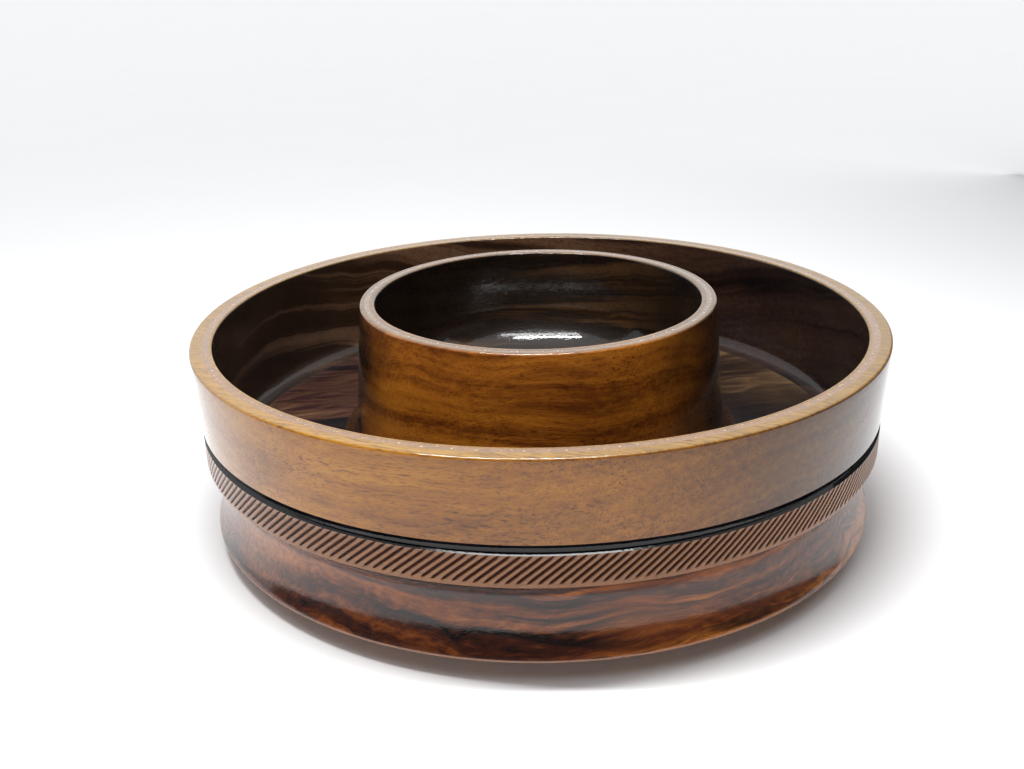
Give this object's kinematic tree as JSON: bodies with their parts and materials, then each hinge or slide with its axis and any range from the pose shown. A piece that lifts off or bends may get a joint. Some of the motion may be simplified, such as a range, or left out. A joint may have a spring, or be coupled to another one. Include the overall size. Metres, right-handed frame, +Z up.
{
  "type": "chip and dip server",
  "caption": "Turned wooden bowl whose ring-shaped trough for chips surrounds a raised round cup for dip, on a coved foot.",
  "frame": {"origin": "centre of the foot's resting plane, on the turning axis", "axes": "+Z up along the turning axis"},
  "size_m": [0.3, 0.3, 0.0972],
  "materials": {
    "dark_wood": "glossy lacquer over dark, strongly figured wood",
    "golden_wood": "glossy lacquer over golden-brown wood",
    "black_lacquer": "high-gloss black lacquer",
    "carved_wood": "satin, cut with slanted grooves",
    "cup_wood": "glossy lacquer over striped orange-brown wood",
    "resin": "clear glossy resin with a grey cast",
    "gold_flake": "bright leaf",
    "silver_flake": "bright leaf"
  },
  "bodies": {
    "root": {"base": "dark_wood", "wall": "golden_wood", "accent_ring": "black_lacquer", "carved_band": "carved_wood", "dip_cup": "cup_wood", "rim_inlay": "resin", "cup_inlay": "resin", "rim_flakes": "gold_flake", "cup_flakes": "silver_flake"}
  },
  "joints": []
}
